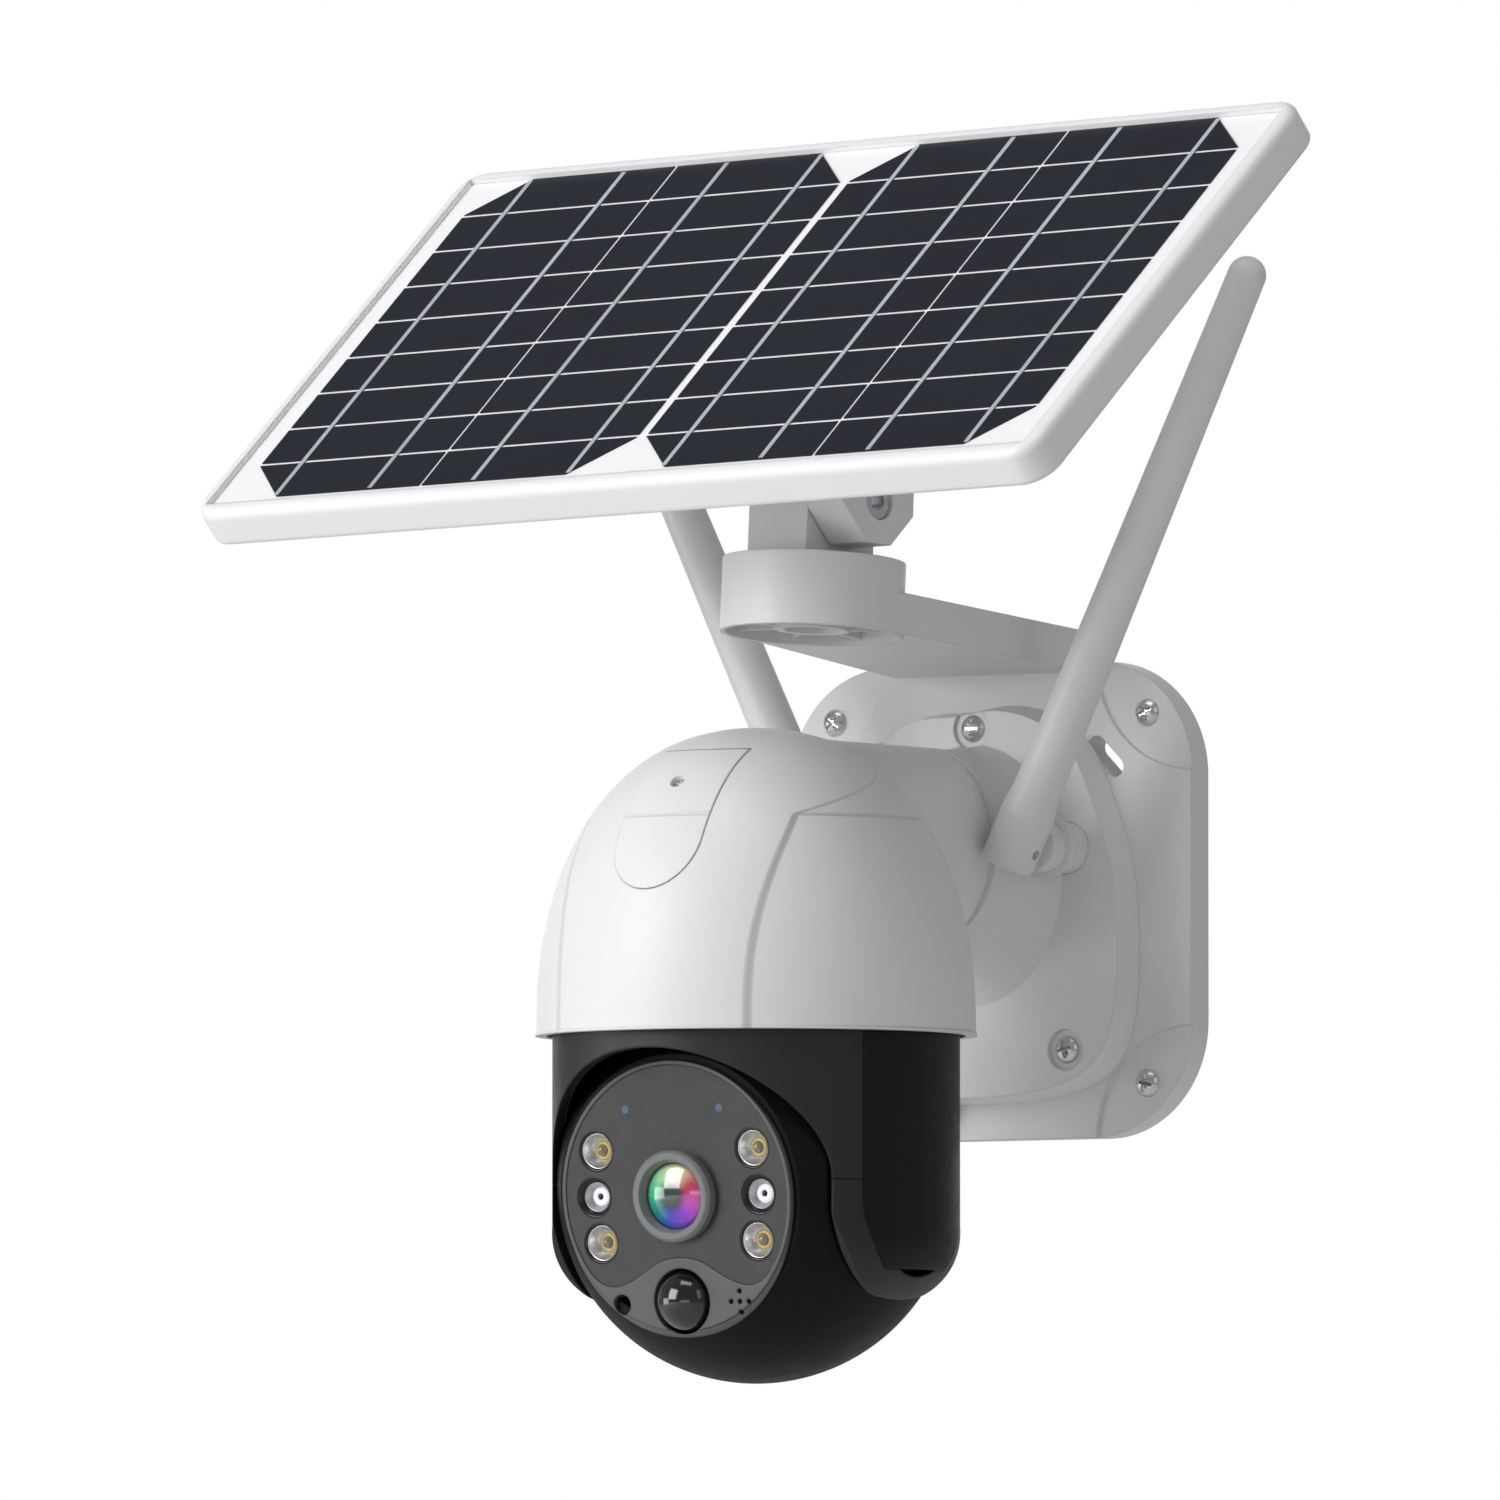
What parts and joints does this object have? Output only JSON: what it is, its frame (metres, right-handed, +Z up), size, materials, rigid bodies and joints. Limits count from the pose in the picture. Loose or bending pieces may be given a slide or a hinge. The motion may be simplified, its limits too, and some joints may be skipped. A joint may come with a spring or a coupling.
{
  "type": "solar-powered security camera",
  "caption": "Wall-mounted pan and tilt dome camera with a tilted solar panel on an arm and swinging antennas.",
  "frame": {"origin": "centre of the wall plate's back face", "axes": "+Z up, -Y out from the wall, +X to the right seen from the front"},
  "size_m": [0.2825, 0.1891, 0.3036],
  "materials": {
    "white_shell": "satin white moulded shell",
    "white_frame": "white panel frame",
    "backsheet": "white laminate backing",
    "silicon": "near-black blue cells",
    "ribbon": "tinned ribbon",
    "clear": "clear cover",
    "lamp_clear": "clear lamp fronts",
    "black_shell": "fine satin black",
    "bezel": "dark grey",
    "face": "gloss dark grey",
    "lens_ring": "satin grey ring",
    "lens": "coated lens",
    "reflector": "bright reflector",
    "motion": "gloss black",
    "steel": "plated screws",
    "gear": "natural gear plastic",
    "motor": "plated can",
    "board": "green circuit board",
    "battery": "sleeved cells",
    "dark_fitting": "black fitting",
    "status": "tinted light pipe"
  },
  "bodies": {
    "base": {"wall_plate": "white_shell", "plate_cover": "white_shell", "corner_screws": "steel", "cover_screws": "steel", "arm_screws": "steel", "power_inlet": "dark_fitting", "solar_arm": "white_shell", "antenna_bosses": "white_shell", "dome_shell": "white_shell", "dome_door": "white_shell", "door_screw": "steel", "pan_base": "dark_fitting", "pan_base_screws": "steel", "pan_motor": "motor", "main_board": "board"},
    "swivel": {"swivel_post": "white_shell", "swivel_screw": "steel"},
    "panel": {"panel_frame": "white_frame", "cell_backsheet": "backsheet", "panel_glass": "clear", "solar_cells": "silicon", "cell_ribbons": "ribbon", "battery_box": "white_frame", "battery_cells": "battery", "charge_board": "board", "panel_screws": "steel", "panel_gland": "dark_fitting", "tilt_ear": "white_shell", "tilt_bolt": "steel", "tilt_nut": "steel"},
    "left_antenna": {"antenna_left": "white_shell", "antenna_screw_left": "steel"},
    "right_antenna": {"antenna_right": "white_shell", "antenna_screw_right": "steel"},
    "pan_head": {"yoke_shell": "black_shell", "yoke_visor": "black_shell", "ear_cap_left": "black_shell", "ear_cap_right": "black_shell", "pan_gear": "gear", "yoke_screws": "steel", "tilt_axle_left": "gear", "tilt_gear": "gear"},
    "pan_drive": {"pan_pinion": "gear"},
    "camera_ball": {"ball_shell": "black_shell", "face_bezel": "bezel", "face_panel": "face", "lens_ring": "lens_ring", "lens_glass": "lens", "lens_barrel": "dark_fitting", "image_board": "board", "flood_reflectors": "reflector", "infrared_reflectors": "reflector", "lamp_lenses": "lamp_clear", "lamp_board": "board", "status_lights": "status", "motion_lens": "motion", "tilt_motor": "motor"},
    "tilt_drive": {"tilt_pinion": "gear"}
  },
  "joints": [
    {"name": "panel_swivel", "type": "hinge", "parent": "base", "child": "swivel", "pos_m": [0, -0.0862, 0.07924], "axis": [0, 0.0785, 0.9969], "range_deg": [-9, 27]},
    {"name": "panel_tilt", "type": "hinge", "parent": "swivel", "child": "panel", "pos_m": [0, -0.08512, 0.0929], "axis": [-0.9871, 0.1594, -0.0125], "range_deg": [-30, 14]},
    {"name": "antenna_left_swing", "type": "hinge", "parent": "base", "child": "left_antenna", "pos_m": [-0.0274, -0.0392, 0.0122], "axis": [0, -1, 0], "range_deg": [-15, 50]},
    {"name": "antenna_right_swing", "type": "hinge", "parent": "base", "child": "right_antenna", "pos_m": [0.0274, -0.0392, 0.0122], "axis": [0, 1, 0], "range_deg": [-15, 50]},
    {"name": "pan", "type": "hinge", "parent": "base", "child": "pan_head", "pos_m": [0, -0.112, -0.0715], "axis": [0, 0, 1], "range_deg": [-175, 175]},
    {"name": "tilt", "type": "hinge", "parent": "pan_head", "child": "camera_ball", "pos_m": [0, -0.112, -0.0715], "axis": [1, 0, 0], "range_deg": [-6, 84]},
    {"name": "pan_pinion_spin", "type": "hinge", "parent": "base", "child": "pan_drive", "pos_m": [-0.0288, -0.112, -0.0115], "axis": [0, 0, 1], "range_deg": [-880, 880]},
    {"name": "tilt_pinion_spin", "type": "hinge", "parent": "camera_ball", "child": "tilt_drive", "pos_m": [0, -0.0941, -0.06962], "axis": [1, 0, 0], "range_deg": [-30, 340]}
  ],
  "couplings": [
    {"joint": "pan_pinion_spin", "follows": "pan", "ratio": -5},
    {"joint": "tilt_pinion_spin", "follows": "tilt", "ratio": 4}
  ]
}
